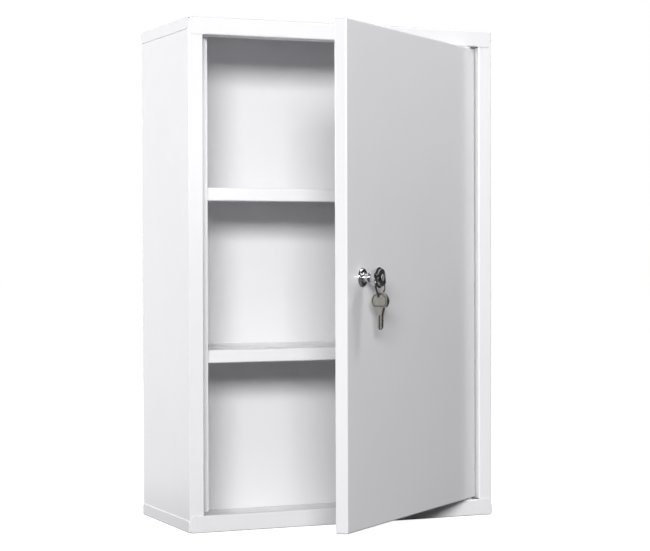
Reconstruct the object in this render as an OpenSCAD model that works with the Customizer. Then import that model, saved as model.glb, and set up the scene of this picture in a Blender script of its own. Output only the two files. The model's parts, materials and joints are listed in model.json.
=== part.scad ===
// Lockable wall cabinet for medicines, in folded and powder-coated sheet steel.
// Frame: X to the right, Y towards the wall, Z up; the origin is the centre of the base.
// The model is at rest with its door ajar. Lengths are in millimetres, angles in degrees.

/* [Body] */
// Width over the top and bottom caps
body_w = 305; // [290:1:400]
// Depth from the front of the frame to the wall
body_d = 138; // [120:1:220]
// Height from the base to the top
body_h = 460; // [430:1:600]
// Thickness of the sheet steel
sheet = 0.8; // [0.6:0.1:1]
// Inside radius of every fold in the sheet
fold_r = 0.6; // [0.4:0.1:0.9]
// Height of the side and rear flanges of the caps
cap_flange = 10.8; // [8:0.2:13]
// Side of the square cut out of each corner of a cap
corner_notch = 2.2; // [1.8:0.1:4]
// Radius of the rounded corners of the rails and side flanges
cap_corner_r = 3; // [2:0.5:5]
// Width of the flange at the rear edge of a side panel
rear_flange = 12; // [10:0.5:16]

/* [Front frame] */
// Width of each stile, seen from the front
stile_w = 13.6; // [12:0.2:18]
// Height of the top and bottom rails
rail_h = 15.5; // [14:0.5:18]
// Depth of the recess that the door shuts into
recess_d = 18.4; // [17:0.2:21]
// Width of the stop lip behind each stile
stop_lip = 10; // [8:0.5:11]
// Gap between each end of the stop lip and the rail
lip_gap = 0.8; // [0.5:0.1:3]
// Depth of the fold along the top of the bottom rail
rail_hem = 5; // [4:0.5:6]
// Gap between the fold of a rail and the stile
hem_gap = 2; // [1.5:0.1:4]

/* [Shelves] */
// Height of the lower shelf's top above the base
lower_shelf_z = 162; // [120:1:180]
// Height of the upper shelf's top above the base
upper_shelf_z = 309; // [280:1:330]
// Height of the shelf's front lip
shelf_lip = 12; // [9:0.5:16]
// Depth of the fold under the shelf's front lip
shelf_hem = 6; // [4:0.5:10]
// Distance from the front of the frame to the shelf
shelf_setback = 23; // [22:0.5:40]
// Gap between a shelf and the walls round it
shelf_gap = 0.4; // [0.2:0.1:1]
// Thickness of the angle that carries a shelf
angle_t = 1; // [0.8:0.1:1.5]
// Width of each leg of the angle
angle_leg = 10; // [8:0.5:11]
// Length of the angle
angle_len = 84; // [60:1:90]

/* [Wall holes] */
// Radius of the four screw holes in the back
wall_hole_r = 3.25; // [2:0.25:4]
// Distance between the hole centres across the cabinet
wall_hole_x = 210; // [180:1:240]
// Distance between the hole centres up the cabinet
wall_hole_z = 380; // [340:1:390]

/* [Door] */
// Angle that the door stands open at rest
door_rest = 39.5; // [20:0.5:60]
// Gap between the door and each stile
door_gap = 2.5; // [2.3:0.1:3.5]
// Gap between the door and each rail
door_end_gap = 1.5; // [1.2:0.1:2]
// Thickness of the door
door_t = 11.5; // [11:0.1:12.5]
// Width of the lips folded round the back of the door
door_lip = 12; // [10:0.5:15]
// Width of the crown of the stiffener inside the door
stiffener_w = 30; // [20:1:50]
// Width of each foot of the stiffener
stiffener_foot = 12; // [8:0.5:16]
// Clear space behind the stiffener's crown
stiffener_inset = 0.8; // [0.5:0.1:2]
// Length left bare above and below the stiffener
stiffener_end = 22; // [18:1:40]

/* [Hinges] */
// Distance from the door's hinged edge to the hinge line
hinge_inset = 9; // [8:0.2:10]
// Radius of the hinge pins
pin_r = 2.5; // [2:0.1:2.8]
// Radial play between a pin and its bush
pin_play = 0.05; // [0.03:0.01:0.08]
// Length of pin inside the door
pin_reach = 8; // [6:0.5:12]
// Radius of the riveted head and collar of a pin
pin_head_r = 4.2; // [3.6:0.1:4.8]
// Thickness of the riveted head
pin_head_t = 1.2; // [0.8:0.1:1.6]
// Gap round the collar of the lower pin
collar_gap = 0.3; // [0.2:0.1:0.5]
// Wall of the nylon bush
bush_wall = 1; // [0.8:0.1:1.2]
// Radius of the bush's flange
bush_flange_r = 5.2; // [4.8:0.1:5.4]
// Length of bush inside the door
bush_len = 5; // [3:0.5:7]
// Play under the bush's flange
thrust_play = 0.1; // [0.05:0.05:0.2]
// Thickness of the hinge plate and bracket
plate_t = 1.5; // [1.2:0.1:2]
// Width of the hinge plate and bracket
plate_w = 18; // [16:0.5:20]
// Depth of the hinge bracket, front to back
bracket_d = 15; // [13:0.5:15.5]
// Inside radius of the bracket's folds
plate_fold_r = 1; // [0.6:0.1:1.5]
// Gap between the bracket and the bend of the bottom rail
bracket_gap = 0.1; // [0.1:0.1:0.5]

/* [Lock] */
// Distance from the door's free edge to the lock
lock_inset = 28.3; // [25:0.1:30]
// Height of the lock above the base
lock_z = 228.8; // [215:0.1:240]
// Radius of the knob's base
knob_base_r = 8.3; // [8:0.1:10]
// Thickness of the knob's base
knob_base_t = 1.8; // [1.2:0.1:2.2]
// Radius of the knob's neck
neck_r = 3.4; // [3.3:0.1:4]
// Radius of the hollow where the neck rises from the base
cove_r = 1.6; // [0.8:0.1:2.2]
// Distance from the door to where the neck runs into the flare
neck_d = 6; // [5:0.1:7]
// Distance from the door to the end of the flare
flare_d = 15.9; // [14:0.1:16.5]
// Radius of the flare at its wide end
flare_r = 8.7; // [8:0.1:9.5]
// Bulge of the flare between its ends
flare_bulge = 0.45; // [0.1:0.05:1]
// Thickness of the flare at its rim
flare_rim = 1; // [0.6:0.1:1.5]
// Radius of the groove behind the knob's face
groove_r = 3.5; // [3.4:0.1:4.5]
// Width of that groove
groove_w = 1.8; // [1.7:0.1:2.5]
// Radius of the knob's face
face_r = 7.4; // [7:0.1:7.8]
// Thickness of the face at its rim
face_rim = 0.8; // [0.7:0.1:1.5]
// Height of the face's dome above its rim
face_dome = 0.9; // [0.5:0.1:1.5]
// Radius of the threaded barrel
barrel_r = 6; // [5:0.1:7]
// Distance from the door's face to the rear end of the barrel
barrel_d = 19.4; // [19:0.1:20]
// Radial play between the barrel and its hole in the door
barrel_play = 0.1; // [0.05:0.05:0.2]
// Radius of the plug's shaft
plug_r = 2.4; // [2.3:0.1:2.6]
// Radius of the plug's head
plug_head_r = 3; // [2.8:0.1:4.5]
// Thickness of the plug's head
plug_head_t = 0.9; // [0.7:0.1:1.1]
// Radial play of the plug in its bore
plug_play = 0.05; // [0.03:0.01:0.08]
// Width of the keyway
keyway_w = 1.2; // [1.1:0.1:1.4]
// Height of the keyway
keyway_h = 4; // [3.9:0.1:4.4]
// Depth of the keyway
keyway_d = 16; // [14:0.5:17]
// Side of the square end that drives the cam
drive_w = 3.2; // [2.8:0.1:3.2]
// Distance across the flats of the lock nut
nut_af = 16; // [15:0.5:19]
// Thickness of the lock nut
nut_t = 3; // [2.5:0.1:4]
// Outer radius of the toothed washer
washer_r = 9; // [8:0.1:9.5]
// Thickness of the toothed washer
washer_t = 0.8; // [0.6:0.1:1]
// Number of notches round the washer
washer_notches = 12; // [8:1:16]
// Width of each notch
notch_w = 1.2; // [0.8:0.1:2]
// Depth of each notch
notch_depth = 0.6; // [0.4:0.1:1]

/* [Cam] */
// Length of the cam from the lock's axis to its tip
cam_reach = 26.5; // [25:0.5:28]
// Width of the cam's arm
cam_w = 10; // [8:0.5:12]
// Radius of the cam's hub
cam_hub_r = 6.5; // [6:0.1:8]
// Thickness of the cam
cam_t = 1.6; // [1.2:0.1:2]
// Gap between the shut cam and the stop lip
cam_gap = 0.9; // [0.6:0.1:1.5]
// Radius of the cam screw's head
screw_head_r = 2.9; // [2.5:0.1:3.2]
// Height of the cam screw's head
screw_head_h = 1.6; // [1.2:0.1:2]
// Radius of the cam screw's shank
screw_r = 1.2; // [1:0.1:1.4]
// Length of the cam screw's shank in the plug
screw_len = 6; // [4:0.5:8]
// Width of the cross slot in the screw's head
slot_w = 0.8; // [0.6:0.1:1]
// Outer radius of the cam washer
cam_washer_r = 4; // [3.5:0.1:5]
// Thickness of the cam washer
cam_washer_t = 0.6; // [0.4:0.1:1]

/* [Keys] */
// Inside diameter of the key ring
ring_id = 17.2; // [16.4:0.1:20]
// Thickness of the key ring's wire
wire_d = 1.3; // [1:0.1:1.4]
// Slack between the ring and what it hangs on
hang_gap = 0.1; // [0.08:0.02:0.2]
// Thickness of a key's bow
key_t = 2; // [1.6:0.1:2.2]
// Gap between the two keys
key_gap = 0.6; // [0.4:0.1:1]
// Radius of a key's bow
bow_r = 7.3; // [6.5:0.1:8]
// Distance from the bow's centre to its flat lower edge
bow_flat = 5.4; // [5:0.1:6]
// Depth of the sunk panel on each face of the bow
bow_sink = 0.35; // [0.2:0.05:0.5]
// Width of the raised rim round that panel
bow_rim = 1.1; // [0.8:0.1:1.5]
// Radius of the hole for the ring
key_hole_r = 1.9; // [1.7:0.1:2.2]
// Width of metal left above that hole
key_bridge = 1; // [0.8:0.1:1.5]
// Slack between the wire and the top of that hole
key_slack = 0.2; // [0.15:0.05:0.4]
// Width of the shoulder at the bow
shoulder_w = 7.6; // [6:0.1:9]
// Length of the shoulder
shoulder_len = 6.5; // [5:0.5:8]
// Width of the key's blade
blade_w = 3.8; // [3.4:0.1:3.8]
// Thickness of the key's blade
blade_t = 1; // [0.8:0.1:1]
// Length of the key's blade
blade_len = 12.5; // [10:0.5:15]
// Width of the groove along the blade
groove_key_w = 0.9; // [0.6:0.1:1.2]
// Depth of the groove along the blade
groove_key_d = 0.3; // [0.2:0.05:0.35]
// Sizes of the square cuts in the blade's edge, from the shoulder to the tip
key_cuts = [0.5, 0.9, 0.6, 1, 0.4]; // [0:0.1:1.2]
// Distance between the cuts
cut_pitch = 2; // [1.6:0.1:2.1]

/* [Hidden] */
$fn = 64;

// Colours
powder_coat = [0.93, 0.93, 0.94];
zinc = [0.72, 0.73, 0.75];
chrome = [0.82, 0.82, 0.84];
nickel = [0.62, 0.60, 0.55];
nylon = [0.90, 0.89, 0.85];

// Length past a face by which a cutter runs out of the metal
over = 1;
// Clearance of a riveted or seated round piece in its hole
seat_gap = 0.02;
// Outside radius of a fold
fold_out = fold_r + sheet;

// Cabinet body
half_w = body_w / 2;
front_y = -body_d / 2;
rear_y = body_d / 2;
stile_y = front_y + sheet;
side_x = half_w - sheet;
opening_x = side_x - stile_w;
side_clear = 0.1;
back_front_y = rear_y - 3 * sheet;
inner_x = side_x - sheet;
hem_x = opening_x - hem_gap;

// Door, as it lies shut
door_x = opening_x - door_gap;
door_z0 = rail_h + door_end_gap;
door_z1 = body_h - rail_h - door_end_gap;
door_rear_y = front_y + door_t;
pivot_x = door_x - hinge_inset;
pivot_y = front_y + door_t / 2;

// Hinges
bush_bore_r = pin_r + pin_play;
bush_r = bush_bore_r + bush_wall;
bush_flange_t = door_end_gap - thrust_play;
plate_depth = recess_d - sheet - fold_out;

// Lock, on its own axis: distances run outwards from the door's face
lock_x = -door_x + lock_inset;
face_back_d = flare_d + groove_w;
face_rim_d = face_back_d + face_rim;
face_front_d = face_rim_d + face_dome;
bore_r = plug_r + plug_play;
plug_head_d = face_front_d - plug_head_t;
cam_front_d = recess_d + sheet + cam_gap;
cam_rear_d = cam_front_d + cam_t;
drive_play = 0.05;
drive_end_gap = 0.1;
screw_end_gap = 0.5;
washer_rear_d = sheet + washer_t;

// Ring and keys, on the lock's axes
wire_r = wire_d / 2;
ring_r = ring_id / 2 + wire_r;
ring_y = groove_r + hang_gap - ring_id / 2;
ring_d = flare_d + groove_w / 2;
wire_y = ring_y - ring_r;
// Rise of the wire's curve out to the far face of a key
wire_rise = ring_r - sqrt(ring_r * ring_r - pow(key_gap / 2 + key_t, 2));
key_hole_y = wire_y + wire_r + wire_rise + key_slack - key_hole_r;
bow_y = key_hole_y + key_hole_r + key_bridge - bow_r;
key_x = (key_t + key_gap) / 2;

// Strip of sheet in cross-section: flat legs joined by right-angle folds.
// The strip starts along +X with its metal on the left; a turn of 1 folds it left, -1 right.
module strip(legs, turns, t, r, i = 0) {
    square([legs[i], t]);
    if (i < len(turns)) {
        if (turns[i] > 0) {
            translate([legs[i], t + r]) rotate(-90) fold(t, r);
            translate([legs[i] + t + r, t + r]) rotate(90) strip(legs, turns, t, r, i + 1);
        } else {
            translate([legs[i], -r]) fold(t, r);
            translate([legs[i] + r, -r]) rotate(-90) strip(legs, turns, t, r, i + 1);
        }
    }
}

// Quarter of a ring: the cross-section of one fold, from +X round to +Y
module fold(t, r) {
    intersection() {
        difference() {
            circle(r + t);
            circle(r);
        }
        square(r + t);
    }
}

// What is cut away to round a corner at the origin, with the sheet on its left and above it
module corner_cut(r) {
    difference() {
        translate([-r, -over]) square(r + over);
        translate([-r, r]) circle(r);
    }
}

// Lays a cross-section drawn in Y and Z along X, centred
module along_x(length) {
    rotate([90, 0, 90]) linear_extrude(length, center = true) children();
}

// Lays a cross-section drawn in X and Z along Y, from the given place
module along_y(y0, length) {
    translate([0, y0 + length, 0]) rotate([90, 0, 0]) linear_extrude(length) children();
}

// The same piece on both sides of the cabinet
module both_sides() {
    children();
    mirror([1, 0, 0]) children();
}

// The same piece at the top and the bottom of the door
module top_and_bottom() {
    children();
    translate([0, 0, door_z0 + door_z1]) mirror([0, 0, 1]) children();
}

// Turns what is drawn on the shut door to the door's place at rest
module on_door() {
    translate([pivot_x, pivot_y, 0]) rotate(door_rest) translate([-pivot_x, -pivot_y, 0]) children();
}

// Lock axes on the shut door: +Z outwards, +Y up
module on_lock() {
    on_door() translate([lock_x, front_y, lock_z]) rotate([90, 0, 0]) children();
}

// Ring of rectangular section
module tube(outer_r, inner_r, z0, z1) {
    translate([0, 0, z0]) difference() {
        cylinder(r = outer_r, h = z1 - z0);
        translate([0, 0, -over]) cylinder(r = inner_r, h = z1 - z0 + 2 * over);
    }
}

// ---- Cabinet body ----

// Side panel: rear flange, wall, stile, return and stop lip, folded from one sheet
module left_panel() {
    wall_z0 = fold_out + side_clear;
    rear_leg = rear_flange - fold_out;
    wall_leg = body_d - 2 * (sheet + fold_out);
    stile_leg = stile_w - 2 * fold_out;
    return_leg = recess_d - sheet - fold_out - fold_r;
    relief_h = rail_h + lip_gap;
    difference() {
        translate([0, 0, wall_z0]) linear_extrude(body_h - 2 * wall_z0)
            translate([rear_flange - side_x, rear_y - sheet])
                rotate(180) strip([rear_leg, wall_leg, stile_leg, return_leg, stop_lip - fold_r],
                                  [1, 1, 1, -1], sheet, fold_r);
        // The return and the lip stop short of both rails
        for (z = [0, body_h - relief_h])
            translate([-inner_x, stile_y + fold_out, z]) cube([inner_x, recess_d, relief_h]);
    }
}

module left_side_panel() { color(powder_coat) left_panel(); }
module right_side_panel() { color(powder_coat) mirror([1, 0, 0]) left_panel(); }

// Cap: plate with a rail in front and flanges at the sides and rear, which cover the body's edges.
// The rail is folded back by hem between the stiles. The outer face is at z = 0, and the cap hangs below it.
module cap(hem) {
    plate_leg = body_d - 2 * fold_out;
    rail_leg = rail_h - 2 * fold_out;
    plate_x = half_w - fold_out;
    notch_x = half_w - corner_notch;
    notch_y = rear_y - corner_notch;
    difference() {
        union() {
            // Rear flange, plate and rail
            translate([0, 0, -cap_flange]) along_x(2 * plate_x)
                translate([rear_y, 0]) rotate(90)
                    strip([cap_flange - fold_out, plate_leg, rail_leg], [1, 1], sheet, fold_r);
            // Fold along the lower edge of the rail
            along_x(2 * hem_x)
                translate([front_y, -fold_out]) rotate(-90)
                    strip([rail_leg, hem - fold_out], [1], sheet, fold_r);
            both_sides() {
                // Flat end of the rail, over the stile
                translate([hem_x, front_y, -rail_h]) cube([plate_x - hem_x, sheet, fold_out + over]);
                // Side flange
                along_y(front_y, body_d)
                    translate([half_w, -cap_flange]) rotate(90)
                        strip([cap_flange - fold_out, over], [1], sheet, fold_r);
            }
        }
        both_sides() {
            for (y = [-rear_y - over, notch_y])
                translate([notch_x, y, -rail_h - over])
                    cube([corner_notch + over, corner_notch + over, rail_h + 2 * over]);
            translate([notch_x, stile_y + over / 2, -rail_h]) rotate([90, 0, 0])
                linear_extrude(sheet + over) corner_cut(cap_corner_r);
            for (end = [0, 1])
                mirror([0, end, 0]) translate([inner_x, notch_y, -cap_flange]) rotate([90, 0, 90])
                    linear_extrude(2 * sheet + over) corner_cut(cap_corner_r);
        }
    }
}

module top_cap() {
    color(powder_coat) difference() {
        translate([0, 0, body_h]) cap(recess_d);
        translate([pivot_x, pivot_y, body_h - rail_h - over])
            cylinder(r = pin_r + seat_gap, h = sheet + 2 * over);
    }
}

module bottom_cap() {
    color(powder_coat) difference() {
        mirror([0, 0, 1]) cap(rail_hem);
        // Room for the collar of the lower pin
        translate([pivot_x, pivot_y, rail_h - sheet - over])
            cylinder(r = pin_head_r + collar_gap, h = sheet + 2 * over);
    }
}

module back_panel() {
    panel_x = side_x - fold_out - side_clear;
    panel_z0 = sheet + side_clear;
    color(powder_coat) difference() {
        translate([-panel_x, back_front_y, panel_z0]) cube([2 * panel_x, sheet, body_h - 2 * panel_z0]);
        for (x = [-wall_hole_x / 2, wall_hole_x / 2], z = [-wall_hole_z / 2, wall_hole_z / 2])
            translate([x, back_front_y - over, body_h / 2 + z])
                rotate([-90, 0, 0]) cylinder(r = wall_hole_r, h = sheet + 2 * over);
    }
}

// ---- Shelves ----

module shelf(top_z) {
    shelf_front_y = front_y + shelf_setback;
    shelf_rear_y = back_front_y - shelf_gap;
    plate_leg = shelf_rear_y - shelf_front_y - fold_out;
    along_x(2 * (inner_x - shelf_gap))
        translate([shelf_rear_y, top_z])
            rotate(180)
                strip([plate_leg, shelf_lip - 2 * fold_out, shelf_hem - fold_out], [1, 1], sheet, fold_r);
}

// Pair of angles on the side panels, under a shelf
module shelf_angles(top_z) {
    shelf_mid_y = (front_y + shelf_setback + back_front_y) / 2;
    both_sides()
        along_y(shelf_mid_y - angle_len / 2, angle_len)
            translate([inner_x, top_z - sheet - angle_leg]) rotate(90)
                strip([angle_leg - angle_t - fold_r, angle_leg - angle_t - fold_r], [1], angle_t, fold_r);
}

module upper_shelf() { color(powder_coat) shelf(upper_shelf_z); }
module lower_shelf() { color(powder_coat) shelf(lower_shelf_z); }
module upper_shelf_angles() { color(powder_coat) shelf_angles(upper_shelf_z); }
module lower_shelf_angles() { color(powder_coat) shelf_angles(lower_shelf_z); }

// ---- Hinges ----

// Plate on the return of the top rail, drilled for the pin
module upper_hinge_plate() {
    plate_z = body_h - rail_h + sheet;
    color(zinc) difference() {
        translate([pivot_x - plate_w / 2, front_y + fold_out, plate_z]) cube([plate_w, plate_depth, plate_t]);
        translate([pivot_x, pivot_y, plate_z - over]) cylinder(r = pin_r + seat_gap, h = plate_t + 2 * over);
    }
}

// Bracket on the floor of the bottom cap; its top lies under the fold of the rail
module lower_hinge_bracket() {
    plate_out = plate_t + plate_fold_r;
    bracket_top = rail_h - sheet;
    color(zinc) difference() {
        translate([pivot_x, 0, sheet]) along_x(plate_w)
            translate([front_y + fold_out + bracket_gap, 0])
                strip([bracket_d - plate_out, bracket_top - sheet - 2 * plate_out, bracket_d - plate_out],
                      [1, 1], plate_t, plate_fold_r);
        translate([pivot_x, pivot_y, bracket_top - plate_t - over])
            cylinder(r = pin_r + seat_gap, h = plate_t + 2 * over);
    }
}

// Pin standing up from z = 0: riveted head below a plate of thickness t, then collar and shank
module hinge_pin(t, collar, reach) {
    translate([0, 0, -t - pin_head_t]) cylinder(r = pin_head_r, h = pin_head_t);
    translate([0, 0, -t - pin_head_t]) cylinder(r = pin_r, h = pin_head_t + t + collar + reach - pin_r / 2);
    translate([0, 0, collar + reach - pin_r / 2]) cylinder(r1 = pin_r, r2 = pin_r / 2, h = pin_r / 2);
    if (collar > 0) cylinder(r = pin_head_r, h = collar);
}

module upper_hinge_pin() {
    color(zinc) translate([pivot_x, pivot_y, body_h - rail_h]) mirror([0, 0, 1])
        hinge_pin(plate_t + sheet, 0, door_end_gap + pin_reach);
}

module lower_hinge_pin() {
    color(zinc) translate([pivot_x, pivot_y, rail_h - sheet])
        hinge_pin(plate_t, sheet, door_end_gap + pin_reach);
}

// Flanged bush standing up into the door from z = 0, the door's lower edge
module hinge_bush() {
    tube(bush_flange_r, bush_bore_r, -bush_flange_t, 0);
    tube(bush_r, bush_bore_r, -over / 2, bush_len);
}

module upper_hinge_bush() {
    color(nylon) on_door() translate([pivot_x, pivot_y, door_z1]) mirror([0, 0, 1]) hinge_bush();
}

module lower_hinge_bush() {
    color(nylon) on_door() translate([pivot_x, pivot_y, door_z0]) hinge_bush();
}

// ---- Door ----

// Upper or lower edge of the door, drawn at the top
module door_edge() {
    along_x(2 * (door_x - fold_out))
        translate([door_rear_y, door_z1 - door_lip])
            rotate(90) strip([door_lip - fold_out, door_t - 2 * fold_out, over], [1, 1], sheet, fold_r);
}

// Welded corner of the pan, drawn at the top right: rounded like the folds that it joins
module door_corner() {
    edge_leg = door_t - 2 * fold_out;
    translate([door_x - fold_out, front_y + fold_out, door_z1 - fold_out])
        intersection() {
            difference() {
                union() {
                    sphere(fold_out);
                    rotate([-90, 0, 0]) cylinder(r = fold_out, h = edge_leg);
                    translate([0, edge_leg, 0]) sphere(fold_out);
                }
                sphere(fold_r);
                rotate([-90, 0, 0]) cylinder(r = fold_r, h = edge_leg);
                translate([0, edge_leg, 0]) sphere(fold_r);
            }
            translate([0, -fold_out, 0]) cube([fold_out, door_t, fold_out]);
        }
}

// Shallow pan: face, four edges and the lips round the back, folded from one sheet
module door_skin() {
    lip_leg = door_lip - fold_out;
    edge_leg = door_t - 2 * fold_out;
    color(powder_coat) on_door() difference() {
        union() {
            translate([0, 0, door_z0 + fold_out]) linear_extrude(door_z1 - door_z0 - 2 * fold_out)
                translate([door_lip - door_x, door_rear_y])
                    rotate(180) strip([lip_leg, edge_leg, 2 * (door_x - fold_out), edge_leg, lip_leg],
                                      [1, 1, 1, 1], sheet, fold_r);
            top_and_bottom() door_edge();
            top_and_bottom() both_sides() door_corner();
        }
        for (z = [door_z0, door_z1])
            translate([pivot_x, pivot_y, z - over - sheet])
                cylinder(r = bush_r + seat_gap, h = 2 * (sheet + over));
        translate([lock_x, front_y - over, lock_z])
            rotate([-90, 0, 0]) cylinder(r = barrel_r + barrel_play, h = sheet + 2 * over);
    }
}

// Top-hat section fixed up the middle of the pan
module door_stiffener() {
    hat_h = door_t - sheet - stiffener_inset;
    web = hat_h - 2 * fold_out;
    foot = stiffener_foot - fold_out;
    crown = stiffener_w - 2 * fold_out;
    color(powder_coat) on_door()
        translate([-stiffener_w / 2 - foot - fold_r, front_y + sheet, door_z0 + stiffener_end])
            linear_extrude(door_z1 - door_z0 - 2 * stiffener_end)
                strip([foot, web, crown, web, foot], [1, -1, -1, 1], sheet, fold_r);
}

// ---- Lock ----

// Points on an arc, centred at c, from angle a0 to a1
arc_steps = 10;
function arc(c, r, a0, a1) =
    [for (i = [0:arc_steps]) let (a = a0 + (a1 - a0) * i / arc_steps) c + r * [cos(a), sin(a)]];

// The flare's outline is an arc over the chord from the neck to the rim
flare_h = flare_d - flare_rim - neck_d;
flare_w = flare_r - neck_r;
flare_chord = sqrt(flare_h * flare_h + flare_w * flare_w);
flare_arc_r = (flare_chord * flare_chord / 4 + flare_bulge * flare_bulge) / (2 * flare_bulge);
flare_turn = asin(flare_chord / 2 / flare_arc_r);
flare_side = atan2(-flare_w, flare_h);
flare_centre = [neck_r + flare_w / 2, neck_d + flare_h / 2]
    - (flare_arc_r - flare_bulge) * [cos(flare_side), sin(flare_side)];
// Radius of the sphere that gives the dome of the face
dome_r = (face_r * face_r + face_dome * face_dome) / (2 * face_dome);
dome_angle = asin(face_r / dome_r);

module lock_knob() {
    outline = concat(
        [[0, -barrel_d], [barrel_r, -barrel_d], [barrel_r, 0]],
        arc([knob_base_r - knob_base_t, 0], knob_base_t, 0, 90),
        arc([neck_r + cove_r, knob_base_t + cove_r], cove_r, 270, 180),
        arc(flare_centre, flare_arc_r, flare_side - flare_turn, flare_side + flare_turn),
        [[flare_r, flare_d], [groove_r, flare_d], [groove_r, face_back_d], [face_r, face_back_d]],
        arc([0, face_front_d - dome_r], dome_r, 90 - dome_angle, 90));
    color(chrome) on_lock() difference() {
        rotate_extrude() polygon(outline);
        translate([0, 0, -barrel_d - over]) cylinder(r = bore_r, h = barrel_d + face_front_d + 2 * over);
        translate([0, 0, plug_head_d - plug_play])
            cylinder(r = plug_head_r + plug_play, h = plug_head_t + over);
    }
}

module lock_washer() {
    color(zinc) on_lock() difference() {
        tube(washer_r, barrel_r + barrel_play, -washer_rear_d, -sheet);
        for (i = [0:washer_notches - 1])
            rotate(i * 360 / washer_notches)
                translate([washer_r - notch_depth, -notch_w / 2, -washer_rear_d - over])
                    cube([notch_depth + over, notch_w, washer_t + 2 * over]);
    }
}

module lock_nut() {
    nut_rear_d = washer_rear_d + nut_t;
    color(zinc) on_lock() difference() {
        translate([0, 0, -nut_rear_d]) cylinder(d = nut_af / cos(30), h = nut_t, $fn = 6);
        translate([0, 0, -nut_rear_d - over]) cylinder(r = barrel_r + seat_gap, h = nut_t + 2 * over);
    }
}

module lock_plug() {
    color(chrome) on_lock() difference() {
        union() {
            translate([0, 0, plug_head_d]) cylinder(r = plug_head_r, h = plug_head_t);
            translate([0, 0, -cam_front_d]) cylinder(r = plug_r, h = cam_front_d + plug_head_d + over / 2);
            translate([-drive_w / 2, -drive_w / 2, -cam_rear_d + drive_end_gap])
                cube([drive_w, drive_w, cam_t - drive_end_gap + over]);
        }
        translate([-keyway_w / 2, -keyway_h / 2, face_front_d - keyway_d])
            cube([keyway_w, keyway_h, keyway_d + over]);
        translate([0, 0, -cam_rear_d - over])
            cylinder(r = screw_r + seat_gap, h = over + screw_len + screw_end_gap);
    }
}

// ---- Cam ----

// Flat arm that turns behind the stop lip; it hangs down while the lock is open
module cam_latch() {
    hole = drive_w + 2 * drive_play;
    color(zinc) on_lock() translate([0, 0, -cam_rear_d]) difference() {
        linear_extrude(cam_t) {
            circle(cam_hub_r);
            translate([-cam_w / 2, cam_w / 2 - cam_reach]) square([cam_w, cam_reach - cam_w / 2]);
            translate([0, cam_w / 2 - cam_reach]) circle(cam_w / 2);
        }
        translate([-hole / 2, -hole / 2, -over]) cube([hole, hole, cam_t + 2 * over]);
    }
}

module cam_washer() {
    color(zinc) on_lock() tube(cam_washer_r, screw_r + seat_gap, -cam_rear_d - cam_washer_t, -cam_rear_d);
}

module cam_screw() {
    head_d = cam_rear_d + cam_washer_t;
    color(zinc) on_lock() difference() {
        union() {
            translate([0, 0, -head_d - screw_head_h]) cylinder(r = screw_head_r, h = screw_head_h);
            translate([0, 0, -head_d - screw_head_h])
                cylinder(r = screw_r, h = screw_head_h + cam_washer_t + screw_len);
        }
        for (a = [0, 90])
            rotate(a) translate([-screw_head_r / 2, -slot_w / 2, -head_d - screw_head_h - over])
                cube([screw_head_r, slot_w, screw_head_h / 2 + over]);
    }
}

// ---- Ring and keys ----

module key_ring() {
    color(nickel) on_lock() translate([0, ring_y, ring_d])
        rotate_extrude() translate([ring_r, 0]) circle(wire_r);
}

// Key hanging in the plane across the door, its thickness centred on x = 0
module key() {
    bow_bottom = bow_y - bow_flat;
    blade_top = bow_bottom - shoulder_len;
    tip_y = blade_top - blade_len;
    rotate([0, 90, 0]) difference() {
        union() {
            // Bow
            translate([0, 0, -key_t / 2]) linear_extrude(key_t) intersection() {
                translate([0, bow_y]) circle(bow_r);
                translate([-bow_r, bow_bottom]) square([2 * bow_r, bow_r + bow_flat]);
            }
            // Shoulder and blade
            translate([0, 0, -key_t / 2]) linear_extrude(key_t)
                polygon([[-shoulder_w / 2, bow_bottom + over], [shoulder_w / 2, bow_bottom + over],
                         [blade_w / 2, blade_top], [-blade_w / 2, blade_top]]);
            translate([0, 0, -blade_t / 2]) linear_extrude(blade_t)
                polygon([[-blade_w / 2, blade_top + over], [blade_w / 2, blade_top + over],
                         [blade_w / 2, tip_y + blade_w / 2], [0, tip_y],
                         [-blade_w / 2, tip_y + blade_w / 2]]);
        }
        translate([0, key_hole_y, -key_t]) cylinder(r = key_hole_r, h = 2 * key_t);
        for (side = [-1, 1]) {
            // Sunk panel on the bow
            translate([0, 0, side * (key_t - bow_sink)]) linear_extrude(key_t, center = true)
                difference() {
                    intersection() {
                        translate([0, bow_y]) circle(bow_r - bow_rim);
                        translate([-bow_r, bow_bottom + bow_rim]) square([2 * bow_r, bow_r + bow_flat]);
                    }
                    translate([0, key_hole_y]) circle(key_hole_r + bow_rim);
                }
            // Groove along the blade
            translate([0, tip_y + blade_len / 2, side * (blade_t - groove_key_d)])
                cube([groove_key_w, blade_len + 2 * over, blade_t], center = true);
        }
        // Cuts along one edge of the blade
        for (i = [0:len(key_cuts) - 1])
            translate([blade_w / 2, blade_top - cut_pitch * (i + 1), 0])
                rotate(45) cube([key_cuts[i], key_cuts[i], 2 * key_t], center = true);
    }
}

module front_key() { color(nickel) on_lock() translate([-key_x, 0, ring_d]) key(); }
module rear_key() { color(nickel) on_lock() translate([key_x, 0, ring_d]) key(); }

left_side_panel();
right_side_panel();
top_cap();
bottom_cap();
back_panel();
upper_shelf();
lower_shelf();
upper_shelf_angles();
lower_shelf_angles();
upper_hinge_plate();
lower_hinge_bracket();
upper_hinge_pin();
lower_hinge_pin();
upper_hinge_bush();
lower_hinge_bush();
door_skin();
door_stiffener();
lock_knob();
lock_washer();
lock_nut();
lock_plug();
cam_latch();
cam_washer();
cam_screw();
key_ring();
front_key();
rear_key();
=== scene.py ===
import json
import math

import bpy
import numpy as np
from mathutils import Matrix, Vector


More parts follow.
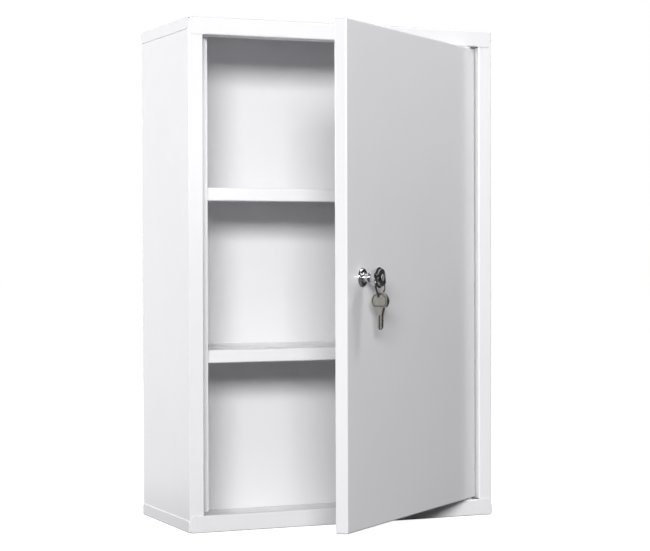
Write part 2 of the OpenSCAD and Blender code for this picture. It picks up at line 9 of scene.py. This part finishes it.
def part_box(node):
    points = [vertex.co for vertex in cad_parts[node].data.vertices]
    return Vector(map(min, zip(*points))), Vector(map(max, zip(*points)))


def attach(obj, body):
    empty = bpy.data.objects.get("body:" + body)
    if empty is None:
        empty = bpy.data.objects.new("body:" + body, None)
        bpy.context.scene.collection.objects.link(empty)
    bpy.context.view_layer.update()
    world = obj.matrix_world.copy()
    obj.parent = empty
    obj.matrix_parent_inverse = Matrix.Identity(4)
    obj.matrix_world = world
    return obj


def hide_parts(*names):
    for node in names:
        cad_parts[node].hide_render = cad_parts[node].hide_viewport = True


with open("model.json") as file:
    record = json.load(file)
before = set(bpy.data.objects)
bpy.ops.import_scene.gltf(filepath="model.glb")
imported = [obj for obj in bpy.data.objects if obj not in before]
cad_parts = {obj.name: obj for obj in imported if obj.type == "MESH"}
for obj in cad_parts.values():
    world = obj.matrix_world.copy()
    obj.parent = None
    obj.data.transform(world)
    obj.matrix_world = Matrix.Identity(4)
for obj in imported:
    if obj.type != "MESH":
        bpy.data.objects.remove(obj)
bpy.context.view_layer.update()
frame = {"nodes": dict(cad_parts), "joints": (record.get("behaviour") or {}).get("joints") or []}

# ---- Camera ----
# A long lens at the height of the lock, to the left of the cabinet and turned to the right, so that
# the left side and the front are both in view. Lengths are in metres, the lens's in millimetres.
CAMERA_AT = Vector((-0.69629, -1.64665, 0.24782))
CAMERA_YAW = math.radians(23.174)
CAMERA_PITCH = math.radians(-0.629)
CAMERA_ROLL = math.radians(-0.154)
SENSOR = 36.0
LENS = 103.87
CLIP_NEAR = 0.05
CLIP_FAR = 60.0

forward = Vector((math.sin(CAMERA_YAW) * math.cos(CAMERA_PITCH),
                  math.cos(CAMERA_YAW) * math.cos(CAMERA_PITCH),
                  math.sin(CAMERA_PITCH)))
level_right = Vector((math.cos(CAMERA_YAW), -math.sin(CAMERA_YAW), 0.0))
level_up = level_right.cross(forward)
right = level_right * math.cos(CAMERA_ROLL) + level_up * math.sin(CAMERA_ROLL)
up = level_up * math.cos(CAMERA_ROLL) - level_right * math.sin(CAMERA_ROLL)
lens = bpy.data.cameras.new("camera")
lens.sensor_fit = "HORIZONTAL"
lens.sensor_width = SENSOR
lens.lens = LENS
lens.clip_start = CLIP_NEAR
lens.clip_end = CLIP_FAR
lens.dof.use_dof = False
camera = bpy.data.objects.new("camera", lens)
camera_turn = Matrix((right, up, -forward)).transposed().to_4x4()
camera.matrix_world = Matrix.Translation(CAMERA_AT) @ camera_turn
bpy.context.scene.collection.objects.link(camera)
bpy.context.scene.camera = camera
bpy.context.scene.view_settings.view_transform = "Standard"


# ---- Floor and background ----
# A floor runs out of sight under a white background. The camera sees both as white, and only the
# shadow of the cabinet darkens the floor. The object itself is lit by a darker floor, and polished
# metal sees the white behind the cabinet and the dark studio in front of it.
FLOOR_REACH = 14.0
FLOOR_COLOUR = (0.15, 0.15, 0.15, 1.0)
FLOOR_COLOUR_SEEN = (0.90, 0.90, 0.90, 1.0)
FLOOR_NEAR, FLOOR_GLOW_NEAR = 0.5, 0.90
FLOOR_FAR, FLOOR_GLOW_FAR = 2.5, 1.0
FLOOR_BEHIND_TOWARDS = (-0.6, 0.8, 0.0)
FLOOR_BEHIND = (0.0, 0.5)
BACKGROUND_TOWARDS = (0.0, 1.0, 0.0)
BACKGROUND_EDGE = (0.45, 0.75)
BACKGROUND_WHITE = 1.0
STUDIO_LIGHT = 0.0
STUDIO_MIRRORED = 0.04


def light_path(nodes, links, *kinds):
    """Gives 1 for rays of the named kinds and 0 for the rest."""
    path = nodes.new("ShaderNodeLightPath")
    total = path.outputs[kinds[0]]
    for kind in kinds[1:]:
        either = nodes.new("ShaderNodeMath")
        either.operation = "MAXIMUM"
        links.new(total, either.inputs[0])
        links.new(path.outputs[kind], either.inputs[1])
        total = either.outputs[0]
    return total


def smooth_step(nodes, links, value, low, high, start=0.0, end=1.0):
    """Rises smoothly from start, where value is low, to end, where it is high."""
    step = nodes.new("ShaderNodeMapRange")
    step.interpolation_type = "SMOOTHSTEP"
    step.inputs["From Min"].default_value = low
    step.inputs["From Max"].default_value = high
    step.inputs["To Min"].default_value = start
    step.inputs["To Max"].default_value = end
    links.new(value, step.inputs["Value"])
    return step.outputs["Result"]


def mixed(nodes, links, factor, first, second):
    """The first shader where factor is 0 and the second where it is 1."""
    mix = nodes.new("ShaderNodeMixShader")
    links.new(factor, mix.inputs[0])
    links.new(first.outputs[0], mix.inputs[1])
    links.new(second.outputs[0], mix.inputs[2])
    return mix


def floor_material():
    """Matt paint that glows up to white for direct rays and, behind the cabinet, mirrored ones."""
    material = bpy.data.materials.new("floor_paint")
    material.use_nodes = True
    nodes, links = material.node_tree.nodes, material.node_tree.links
    nodes.clear()
    matt = nodes.new("ShaderNodeBsdfDiffuse")
    matt.inputs["Color"].default_value = FLOOR_COLOUR
    pale = nodes.new("ShaderNodeBsdfDiffuse")
    pale.inputs["Color"].default_value = FLOOR_COLOUR_SEEN
    where = nodes.new("ShaderNodeTexCoord").outputs["Object"]
    away = nodes.new("ShaderNodeVectorMath")
    away.operation = "LENGTH"
    links.new(where, away.inputs[0])
    strength = smooth_step(nodes, links, away.outputs["Value"], FLOOR_NEAR, FLOOR_FAR,
                           FLOOR_GLOW_NEAR, FLOOR_GLOW_FAR)
    glow = nodes.new("ShaderNodeEmission")
    links.new(strength, glow.inputs["Strength"])
    lit = nodes.new("ShaderNodeAddShader")
    links.new(pale.outputs[0], lit.inputs[0])
    links.new(glow.outputs[0], lit.inputs[1])
    across = nodes.new("ShaderNodeVectorMath")
    across.operation = "DOT_PRODUCT"
    across.inputs[1].default_value = FLOOR_BEHIND_TOWARDS
    links.new(where, across.inputs[0])
    behind = smooth_step(nodes, links, across.outputs["Value"], *FLOOR_BEHIND)
    mirrored = mixed(nodes, links, behind, matt, glow)
    glossy = mixed(nodes, links, light_path(nodes, links, "Is Glossy Ray"), matt, mirrored)
    direct = light_path(nodes, links, "Is Camera Ray", "Is Transmission Ray")
    out = nodes.new("ShaderNodeOutputMaterial")
    links.new(mixed(nodes, links, direct, glossy, lit).outputs[0], out.inputs[0])
    return material


floor_mesh = bpy.data.meshes.new("floor")
corners = np.array([[-1, -1, 0], [1, -1, 0], [1, 1, 0], [-1, 1, 0]]) * FLOOR_REACH
floor_mesh.from_pydata(corners.tolist(), [], [[0, 1, 2, 3]])
floor_mesh.materials.append(floor_material())
floor = bpy.data.objects.new("floor", floor_mesh)
bpy.context.scene.collection.objects.link(floor)


def background(nodes, strength):
    """A plain grey background, where a strength of 1 is white."""
    plain = nodes.new("ShaderNodeBackground")
    plain.inputs["Color"].default_value = (1.0, 1.0, 1.0, 1.0)
    plain.inputs["Strength"].default_value = strength
    return plain


world = bpy.data.worlds.new("studio")
world.use_nodes = True
bpy.context.scene.world = world
world_nodes, world_links = world.node_tree.nodes, world.node_tree.links
world_nodes.clear()
towards = world_nodes.new("ShaderNodeVectorMath")
towards.operation = "DOT_PRODUCT"
towards.inputs[1].default_value = BACKGROUND_TOWARDS
world_links.new(world_nodes.new("ShaderNodeTexCoord").outputs["Generated"], towards.inputs[0])
white_part = smooth_step(world_nodes, world_links, towards.outputs["Value"], *BACKGROUND_EDGE)
white = background(world_nodes, BACKGROUND_WHITE)
dark = background(world_nodes, STUDIO_MIRRORED)
mirrored = mixed(world_nodes, world_links, white_part, dark, white)
glossy = mixed(world_nodes, world_links, light_path(world_nodes, world_links, "Is Glossy Ray"),
               background(world_nodes, STUDIO_LIGHT), mirrored)
direct = light_path(world_nodes, world_links, "Is Camera Ray", "Is Transmission Ray")
world_out = world_nodes.new("ShaderNodeOutputWorld")
seen = mixed(world_nodes, world_links, direct, glossy, white)
world_links.new(seen.outputs[0], world_out.inputs[0])


# ---- Lamps ----
# Soft boxes that all face the cabinet's middle: the main one in front and to the left, one behind at
# the left for the side panel, and two weak ones at the right for the door.
CENTRE = Vector((0.0, -0.1, 0.23))
# Name; azimuth (0 in front, positive to the right) and elevation in degrees; distance; width;
# height; watts.
SOFT_BOXES = (
    ("key_box", -25.5, 13.8, 2.4, 0.9, 0.41, 57.0),
    ("side_box", -130, 14, 2.0, 0.9, 0.7, 27.0),
    ("upper_box", 60, 50, 1.2, 0.4, 0.4, 5.2),
    ("right_box", 90, 30, 1.8, 0.6, 0.6, 2.5),
)


def round_about(azimuth, elevation, distance):
    """A place at a distance from the middle: (sin a cos e, -cos a cos e, sin e) times distance."""
    turn, rise = math.radians(azimuth), math.radians(elevation)
    away = Vector((math.sin(turn) * math.cos(rise), -math.cos(turn) * math.cos(rise), math.sin(rise)))
    return CENTRE + away * distance


def soft_box(name, place, width, height, watts):
    """A rectangular lamp at place that faces the middle."""
    data = bpy.data.lights.new(name, "AREA")
    data.shape = "RECTANGLE"
    data.size = width
    data.size_y = height
    data.energy = watts
    lamp = bpy.data.objects.new(name, data)
    facing = (CENTRE - place).to_track_quat("-Z", "Y").to_matrix().to_4x4()
    lamp.matrix_world = Matrix.Translation(place) @ facing
    bpy.context.scene.collection.objects.link(lamp)


for name, azimuth, elevation, distance, width, height, watts in SOFT_BOXES:
    soft_box(name, round_about(azimuth, elevation, distance), width, height, watts)


# ---- Folded sheets: body, shelves and door ----
# Mild steel sheet, folded, spot welded and then sprayed with white powder that is baked on. The coat
# flows into a faint orange peel, and its gloss is a little uneven. Clouds and grains here and below
# are in cells a metre, and heights in metres.
COAT_WHITE = (0.86, 0.858, 0.876, 1.0)
COAT_SHADES = (0.985, 1.01)
COAT_CLOUDS = 9.0
COAT_ROUGHNESS = (0.15, 0.23)
COAT_GLOSS_CLOUDS = 60.0
PEEL_GRAIN = 420.0
PEEL_HEIGHT = 0.00001
NOISE_LOW = 0.3
NOISE_HIGH = 0.7


def principled(name):
    """A new material with its shader, its nodes and its links."""
    material = bpy.data.materials.new(name)
    material.use_nodes = True
    nodes, links = material.node_tree.nodes, material.node_tree.links
    return material, nodes["Principled BSDF"], nodes, links


def noise(nodes, links, where, scale, detail=3.0, roughness=0.5):
    """Noise from 0 to 1 on the given coordinates, with scale in cells a metre."""
    texture = nodes.new("ShaderNodeTexNoise")
    texture.inputs["Scale"].default_value = scale
    texture.inputs["Detail"].default_value = detail
    texture.inputs["Roughness"].default_value = roughness
    links.new(where, texture.inputs["Vector"])
    return texture.outputs["Fac"]


def ramp(nodes, links, value, low, high):
    """Maps the usual reach of noise onto low to high, which are numbers or colours."""
    blend = nodes.new("ShaderNodeValToRGB")
    ends = (NOISE_LOW, low), (NOISE_HIGH, high)
    for element, (position, end) in zip(blend.color_ramp.elements, ends):
        element.position = position
        element.color = end if isinstance(end, tuple) else (end, end, end, 1.0)
    links.new(value, blend.inputs[0])
    return blend.outputs[0]


def shade(colour, factor):
    """The colour, lighter or darker by a factor."""
    return tuple(part * factor for part in colour[:3]) + (1.0,)


def bump(nodes, links, height, distance, shader):
    """Raises the surface by up to distance, in metres, where height is 1."""
    relief = nodes.new("ShaderNodeBump")
    relief.inputs["Distance"].default_value = distance
    links.new(height, relief.inputs["Height"])
    links.new(relief.outputs[0], shader.inputs["Normal"])


def powder_coat(name, colour):
    """White coat with a faintly cloudy colour, uneven gloss and a fine orange peel."""
    material, shader, nodes, links = principled(name)
    where = nodes.new("ShaderNodeTexCoord").outputs["Object"]
    cloud = noise(nodes, links, where, COAT_CLOUDS, 4.0)
    thin, thick = (shade(colour, factor) for factor in COAT_SHADES)
    links.new(ramp(nodes, links, cloud, thin, thick), shader.inputs["Base Color"])
    gloss = noise(nodes, links, where, COAT_GLOSS_CLOUDS, 4.0, 0.6)
    links.new(ramp(nodes, links, gloss, *COAT_ROUGHNESS), shader.inputs["Roughness"])
    bump(nodes, links, noise(nodes, links, where, PEEL_GRAIN, 2.0), PEEL_HEIGHT, shader)
    return material


def dress(material, *names):
    """Gives each named node this material."""
    for name in names:
        mesh = frame["nodes"][name].data
        mesh.materials.clear()
        mesh.materials.append(material)


body_coat = powder_coat("body_coat", COAT_WHITE)
dress(body_coat, "left_side_panel", "right_side_panel", "top_cap", "bottom_cap", "back_panel",
      "upper_shelf", "lower_shelf", "upper_shelf_angles", "lower_shelf_angles")
door_coat = powder_coat("door_coat", COAT_WHITE)
dress(door_coat, "door_skin", "door_stiffener")


# ---- Small steel parts ----
# Hinge plate, bracket and pins, and the lock's nut, washers, cam and screw: pressed or turned steel,
# zinc plated and passivated, which leaves a satin, bluish film that varies in tone.
ZINC_PALE = (0.70, 0.72, 0.75, 1.0)
ZINC_DARK = (0.52, 0.54, 0.56, 1.0)
ZINC_CLOUDS = 160.0
ZINC_GRAIN = 1400.0
ZINC_ROUGHNESS = (0.28, 0.42)
ZINC_HEIGHT = 0.00003


def zinc_plate(name):
    """Satin metal with clouds of tone and a fine grain."""
    material, shader, nodes, links = principled(name)
    where = nodes.new("ShaderNodeTexCoord").outputs["Object"]
    shader.inputs["Metallic"].default_value = 1.0
    clouds = noise(nodes, links, where, ZINC_CLOUDS, 5.0, 0.6)
    links.new(ramp(nodes, links, clouds, ZINC_DARK, ZINC_PALE), shader.inputs["Base Color"])
    grain = noise(nodes, links, where, ZINC_GRAIN)
    links.new(ramp(nodes, links, grain, *ZINC_ROUGHNESS), shader.inputs["Roughness"])
    bump(nodes, links, grain, ZINC_HEIGHT, shader)
    return material


dress(zinc_plate("zinc_plate"), "upper_hinge_plate", "lower_hinge_bracket", "upper_hinge_pin",
      "lower_hinge_pin", "lock_washer", "lock_nut", "cam_latch", "cam_washer", "cam_screw")


# ---- Hinge bushes ----
# Moulded in natural nylon, which is cream white and matt and lets a little light into it. They are
# pressed into the door and turn on the steel pins.
NYLON_CREAM = (0.80, 0.78, 0.70, 1.0)
NYLON_MOTTLE = 500.0
NYLON_ROUGHNESS = (0.42, 0.5)
NYLON_SCATTER = 0.15
NYLON_DEPTH = 0.002


def nylon(name):
    """Matt cream plastic with a faint mottle."""
    material, shader, nodes, links = principled(name)
    where = nodes.new("ShaderNodeTexCoord").outputs["Object"]
    mottle = noise(nodes, links, where, NYLON_MOTTLE)
    cream = ramp(nodes, links, mottle, shade(NYLON_CREAM, 0.95), NYLON_CREAM)
    links.new(cream, shader.inputs["Base Color"])
    links.new(ramp(nodes, links, mottle, *NYLON_ROUGHNESS), shader.inputs["Roughness"])
    shader.inputs["Subsurface Weight"].default_value = NYLON_SCATTER
    shader.inputs["Subsurface Scale"].default_value = NYLON_DEPTH
    return material


dress(nylon("nylon"), "upper_hinge_bush", "lower_hinge_bush")


# ---- Knob and lock plug ----
# Die-cast zinc, polished and chrome plated; the plug is turned brass with a satin plating. The flare
# keeps faint rings from turning, and the barrel behind the door is threaded for the nut.
CHROME = (0.70, 0.70, 0.71, 1.0)
CHROME_ROUGHNESS = (0.13, 0.22)
SATIN = (0.88, 0.88, 0.88, 1.0)
SATIN_ROUGHNESS = (0.42, 0.5)
PLATING_CLOUDS = 300.0
TURNING_PITCH = 0.0013
TURNING_HEIGHT = 0.000022
TURNING_FROM = 0.0090
TURNING_TO = 0.0150
THREAD_PITCH = 0.001
THREAD_HEIGHT = 0.0003

lock_turn, ring_swing = (next(joint for joint in frame["joints"] if joint["name"] == name)
                         for name in ("lock_turn", "ring_swing"))
lock_at = Vector(lock_turn["pos_m"])
outwards = Vector(ring_swing["axis"])


def calculate(nodes, links, operation, *values):
    """A maths node's result for the given sockets and numbers."""
    node = nodes.new("ShaderNodeMath")
    node.operation = operation
    for place, value in zip(node.inputs, values):
        if isinstance(value, (int, float)):
            place.default_value = value
        else:
            links.new(value, place)
    return node.outputs[0]


def distance_along(nodes, links, where, origin, direction):
    """How far a place lies from origin along direction, in metres."""
    dot = nodes.new("ShaderNodeVectorMath")
    dot.operation = "DOT_PRODUCT"
    dot.inputs[1].default_value = direction
    links.new(where, dot.inputs[0])
    return calculate(nodes, links, "SUBTRACT", dot.outputs["Value"], origin.dot(direction))


def chrome_plate(name, colour, roughness):
    """Chrome with rings cos(2 pi d / pitch) on the flare and a thread of that form behind the door."""
    material, shader, nodes, links = principled(name)
    where = nodes.new("ShaderNodeTexCoord").outputs["Object"]
    shader.inputs["Metallic"].default_value = 1.0
    film = noise(nodes, links, where, PLATING_CLOUDS, 5.0, 0.65)
    links.new(ramp(nodes, links, film, shade(colour, 0.92), colour), shader.inputs["Base Color"])
    links.new(ramp(nodes, links, film, *roughness), shader.inputs["Roughness"])
    depth = distance_along(nodes, links, where, lock_at, outwards)

    def rings(pitch):
        turns = calculate(nodes, links, "MULTIPLY", depth, math.tau / pitch)
        return calculate(nodes, links, "COSINE", turns)

    past_neck = calculate(nodes, links, "GREATER_THAN", depth, TURNING_FROM)
    before_face = calculate(nodes, links, "LESS_THAN", depth, TURNING_TO)
    on_flare = calculate(nodes, links, "MULTIPLY", past_neck, before_face)
    behind_door = calculate(nodes, links, "LESS_THAN", depth, 0.0)
    turned = calculate(nodes, links, "MULTIPLY", on_flare, rings(TURNING_PITCH))
    threaded = calculate(nodes, links, "MULTIPLY", behind_door, rings(THREAD_PITCH))
    heights = calculate(nodes, links, "MULTIPLY_ADD", threaded, THREAD_HEIGHT / TURNING_HEIGHT, turned)
    bump(nodes, links, heights, TURNING_HEIGHT, shader)
    return material


dress(chrome_plate("polished_chrome", CHROME, CHROME_ROUGHNESS), "lock_knob")
dress(chrome_plate("satin_chrome", SATIN, SATIN_ROUGHNESS), "lock_plug")


# ---- Key ring ----
# Split ring of hardened flat wire: two turns side by side, with a crank where the wire crosses over
# from one turn to the other. Its metal is painted dark grey: a painted dark reflection that stands
# in for the dark studio the ring mirrors.
RING_PAINTED_DARK = (0.17, 0.165, 0.155, 1.0)
RING_ROUGHNESS = (0.18, 0.3)
RING_WIRE = 0.0013
RING_WIRE_FLAT = 0.0011
RING_STEPS = 280
SECTION_STEPS = 16
CRANK = 0.35
CRANK_AT = math.radians(200)
RUB_CLOUDS = 350.0
RUB_SHADE = 0.85
SCRATCH_GRAIN = 1800.0
SCRATCH_HEIGHT = 0.00001


def nickel_plate(name, colour, roughness):
    """Grey metal with rubbed patches and fine scratches."""
    material, shader, nodes, links = principled(name)
    where = nodes.new("ShaderNodeTexCoord").outputs["Object"]
    shader.inputs["Metallic"].default_value = 1.0
    rub = noise(nodes, links, where, RUB_CLOUDS, 5.0, 0.6)
    metal = ramp(nodes, links, rub, shade(colour, RUB_SHADE), colour)
    links.new(metal, shader.inputs["Base Color"])
    scratch = noise(nodes, links, where, SCRATCH_GRAIN, 2.0)
    links.new(ramp(nodes, links, scratch, *roughness), shader.inputs["Roughness"])
    bump(nodes, links, scratch, SCRATCH_HEIGHT, shader)
    return material, shader, nodes, links, where, metal


def swept(name, path, sides, ups, half_width, half_height):
    """A wire along path with flat ends: x = w c|c|^-1/2, y = h s|s|^-1/2, a rounded rectangle."""
    turn = np.linspace(0.0, math.tau, SECTION_STEPS, endpoint=False)
    c, s = np.cos(turn), np.sin(turn)
    x = half_width * np.sign(c) * np.sqrt(np.abs(c))
    y = half_height * np.sign(s) * np.sqrt(np.abs(s))
    rings = path[:, None] + sides[:, None] * x[None, :, None] + ups[:, None] * y[None, :, None]
    vertices = np.concatenate([rings.reshape(-1, 3), path[:1], path[-1:]])
    here = np.arange(SECTION_STEPS)
    beside = (here + 1) % SECTION_STEPS
    a = np.arange(len(path) - 1)[:, None] * SECTION_STEPS
    b = a + SECTION_STEPS
    sides_of_wire = np.stack([a + here, a + beside, b + beside, b + here], axis=-1).reshape(-1, 4)
    middle = np.full_like(here, len(path) * SECTION_STEPS)
    first_end = np.stack([middle, beside, here], axis=-1)
    last_end = np.stack([middle + 1, b[-1] + here, b[-1] + beside], axis=-1)
    faces = sides_of_wire.tolist() + first_end.tolist() + last_end.tolist()
    mesh = bpy.data.meshes.new(name)
    mesh.from_pydata(vertices.tolist(), [], faces)
    mesh.polygons.foreach_set("use_smooth", [True] * len(faces))
    mesh.update()
    piece = bpy.data.objects.new(name, mesh)
    bpy.context.scene.collection.objects.link(piece)
    return piece


low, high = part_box("key_ring")
ring_centre = np.array((*ring_swing["pos_m"][:2], (low[2] + high[2]) / 2))
ring_radius = (high[2] - low[2] - RING_WIRE) / 2
axis = np.array(outwards)
across = np.array(outwards.cross(Vector((0, 0, 1))))
theta = np.linspace(CRANK, 2 * math.tau - CRANK, RING_STEPS)
crossing = np.clip((theta - math.tau + CRANK) / (2 * CRANK), 0, 1)
shift = (crossing * crossing * (3 - 2 * crossing) - 0.5) * RING_WIRE / 2
spoke = (across[None] * np.cos(theta + CRANK_AT)[:, None]
         + np.array((0, 0, 1))[None] * np.sin(theta + CRANK_AT)[:, None])
path = ring_centre + spoke * ring_radius + axis[None] * shift[:, None]
split_ring = swept("split_ring", path, spoke, np.repeat(axis[None], RING_STEPS, axis=0),
                   RING_WIRE_FLAT / 2, RING_WIRE / 4)
# The ring's material carries the painted dark reflection.
split_ring.data.materials.append(nickel_plate("ring_nickel", RING_PAINTED_DARK, RING_ROUGHNESS)[0])
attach(split_ring, "key_ring")
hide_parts("key_ring")


# ---- Keys ----
# Pressed brass, nickel plated and rubbed by use. Shade is painted dark at the foot of the raised
# rim round the bow and in the groove along the blade.
NICKEL = (0.58, 0.56, 0.515, 1.0)
NICKEL_ROUGHNESS = (0.24, 0.36)
BOW_RADIUS = 0.0073
BOW_FLAT = 0.0054
BOW_RIM = 0.0011
BLADE_FROM = 0.0119
GROOVE_HALF = 0.00045
PAINTED_SHADE_WIDTH = 0.0008
PAINTED_SHADE_FACTOR = 0.22


def key_metal(name, node):
    """Nickel with painted shade where |max(r - R, f - z)| is small, for a panel of radius R and lower
    edge f.
    """
    material, shader, nodes, links, where, metal = nickel_plate(name, NICKEL, NICKEL_ROUGHNESS)
    centre = Vector((*ring_swing["pos_m"][:2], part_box(node)[1][2] - BOW_RADIUS))
    out = distance_along(nodes, links, where, centre, outwards)
    rise = distance_along(nodes, links, where, centre, Vector((0, 0, 1)))
    squares = [calculate(nodes, links, "MULTIPLY", way, way) for way in (out, rise)]
    radius = calculate(nodes, links, "SQRT", calculate(nodes, links, "ADD", *squares))
    beyond = calculate(nodes, links, "SUBTRACT", radius, BOW_RADIUS - BOW_RIM)
    below = calculate(nodes, links, "SUBTRACT", BOW_RIM - BOW_FLAT, rise)
    edge = calculate(nodes, links, "ABSOLUTE", calculate(nodes, links, "MAXIMUM", beyond, below))
    bow_unshaded = smooth_step(nodes, links, edge, 0.0, PAINTED_SHADE_WIDTH)
    aside = calculate(nodes, links, "ABSOLUTE", out)
    beside_groove = smooth_step(nodes, links, aside, GROOVE_HALF, GROOVE_HALF + PAINTED_SHADE_WIDTH / 2)
    above_blade = calculate(nodes, links, "GREATER_THAN", rise, -BLADE_FROM)
    blade_unshaded = calculate(nodes, links, "MAXIMUM", above_blade, beside_groove)
    unshaded = calculate(nodes, links, "MINIMUM", bow_unshaded, blade_unshaded)
    # Painted shade: the nickel darkened at the foot of the bow's rim and in the groove of the blade.
    tint = nodes.new("ShaderNodeMix")
    tint.data_type = "RGBA"
    first_colour, second_colour, colour = tint.inputs[6], tint.inputs[7], tint.outputs[2]
    first_colour.default_value = shade(NICKEL, PAINTED_SHADE_FACTOR)
    links.new(unshaded, tint.inputs[0])
    links.new(metal, second_colour)
    links.new(colour, shader.inputs["Base Color"])
    return material


for key in ("front_key", "rear_key"):
    dress(key_metal(key + "_nickel", key), key)
